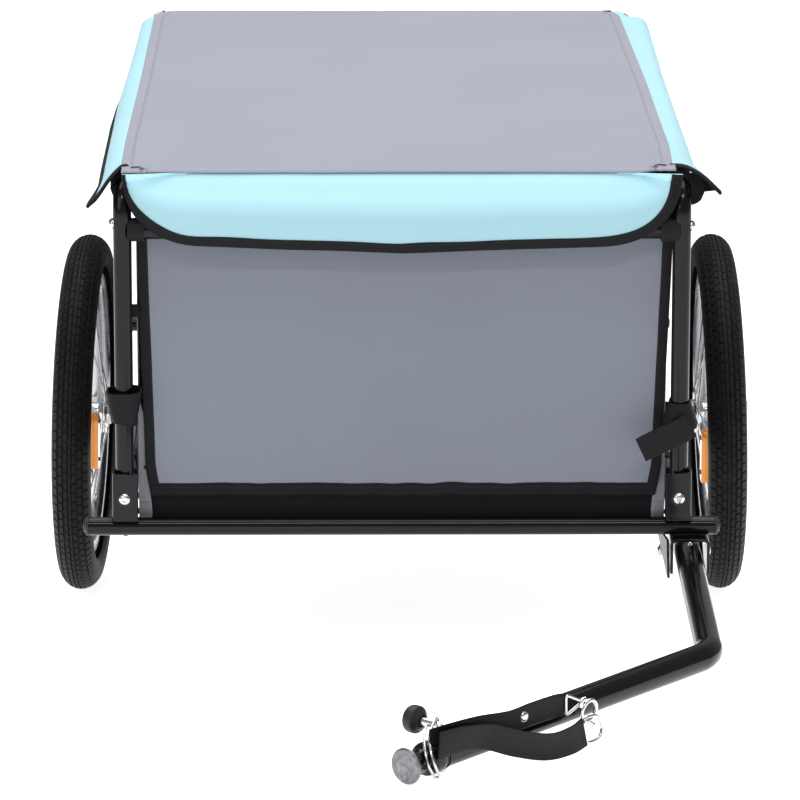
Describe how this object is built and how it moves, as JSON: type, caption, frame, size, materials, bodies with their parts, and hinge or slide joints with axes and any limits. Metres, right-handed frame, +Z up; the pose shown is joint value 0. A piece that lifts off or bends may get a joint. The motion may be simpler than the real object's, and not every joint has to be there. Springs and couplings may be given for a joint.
{
  "type": "bicycle cargo trailer",
  "caption": "Two-wheel bicycle cargo trailer: black steel tube frame, grey and light blue fabric body, bent tow arm with hitch pin and safety strap.",
  "frame": {"origin": "on the floor, under the middle of the whole trailer's box", "axes": "-Y towards the bicycle, +X to the trailer's right as seen from the front, +Z up; the trailer stands unhitched, on its two wheels and the end of its tow arm"},
  "size_m": [0.79, 1.6162, 0.63],
  "materials": {
    "black_paint": "gloss black enamel over steel tube and sheet",
    "black_plastic": "satin moulded plastic",
    "zinc": "bright zinc plate",
    "rim_alloy": "polished alloy",
    "tyre": "matt rubber with moulded tread blocks",
    "amber": "clear amber reflector",
    "webbing": "ribbed polyester webbing",
    "grey_fabric": "coated polyester cloth, matt",
    "roof_fabric": "coated polyester cloth, matt",
    "blue_fabric": "coated polyester cloth, matt",
    "black_fabric": "coated polyester cloth and tape, matt"
  },
  "bodies": {
    "trailer_frame": {"front_crossbar": "black_paint", "rear_crossbar": "black_paint", "axle_crosstube": "black_paint", "front_top_crosstube": "black_paint", "rear_top_crosstube": "black_paint", "tow_bracket": "black_paint", "left_base_rail": "black_paint", "left_side_frame": "black_paint", "left_axle_bracket": "black_paint", "left_front_foot": "black_paint", "left_rear_foot": "black_paint", "left_front_cap": "black_plastic", "left_rear_cap": "black_plastic", "left_front_foot_bolt": "zinc", "left_rear_foot_bolt": "zinc", "left_front_top_bolt": "zinc", "left_rear_top_bolt": "zinc", "left_wheel_axle": "zinc", "left_post_strap": "webbing", "left_side_flap": "blue_fabric", "right_base_rail": "black_paint", "right_side_frame": "black_paint", "right_axle_bracket": "black_paint", "right_front_foot": "black_paint", "right_rear_foot": "black_paint", "right_front_cap": "black_plastic", "right_rear_cap": "black_plastic", "right_front_foot_bolt": "zinc", "right_rear_foot_bolt": "zinc", "right_front_top_bolt": "zinc", "right_rear_top_bolt": "zinc", "right_wheel_axle": "zinc", "right_post_strap": "webbing", "right_side_flap": "blue_fabric", "tow_pivot_bolt": "zinc", "cargo_bag": "black_fabric", "front_panel": "grey_fabric", "roof_panel": "roof_fabric", "rear_flap": "blue_fabric"},
    "left_wheel": {"left_tyre": "tyre", "left_rim": "rim_alloy", "left_hub_and_spokes": "zinc", "left_reflector": "amber"},
    "right_wheel": {"right_tyre": "tyre", "right_rim": "rim_alloy", "right_hub_and_spokes": "zinc", "right_reflector": "amber"},
    "tow_arm": {"tow_arm": "black_paint", "hitch_coupler": "black_paint", "safety_strap": "webbing", "strap_tab": "webbing", "strap_rivet": "zinc", "strap_ring": "zinc", "tab_ring": "zinc", "snap_hook": "zinc"},
    "hitch_pin": {"hitch_pin": "zinc", "pin_grip": "black_plastic"},
    "pin_bail": {"pin_bail": "zinc"},
    "front_flap": {"front_flap": "blue_fabric"}
  },
  "joints": [
    {"name": "left_wheel_spin", "type": "hinge", "parent": "trailer_frame", "child": "left_wheel", "pos_m": [-0.351, 0.3687, 0.2], "axis": [0.9987, -0.0463, -0.0234], "continuous": true},
    {"name": "right_wheel_spin", "type": "hinge", "parent": "trailer_frame", "child": "right_wheel", "pos_m": [0.3585, 0.3687, 0.2], "axis": [0.9996, 0.0108, 0.026], "continuous": true},
    {"name": "tow_arm_fold", "type": "hinge", "parent": "trailer_frame", "child": "tow_arm", "pos_m": [0.3, -0.07338, 0.10858], "axis": [1, 0, 0], "range_deg": [0, 175]},
    {"name": "hitch_pin_pull", "type": "slide", "parent": "tow_arm", "child": "hitch_pin", "axis": [0, -0.1238, 0.9923], "range_m": [0, 0.032]},
    {"name": "pin_bail_swing", "type": "hinge", "parent": "hitch_pin", "child": "pin_bail", "pos_m": [0.02334, -0.75447, 0.05688], "axis": [-0.6522, -0.7522, -0.0938], "range_deg": [0, 62]},
    {"name": "front_flap_lift", "type": "hinge", "parent": "trailer_frame", "child": "front_flap", "pos_m": [0, -0.16674, 0.51525], "axis": [-1, 0, 0], "range_deg": [0, 165]}
  ],
  "couplings": [
    {"joint": "pin_bail_swing", "follows": "hitch_pin_pull", "rad_per_m": 33.6}
  ]
}
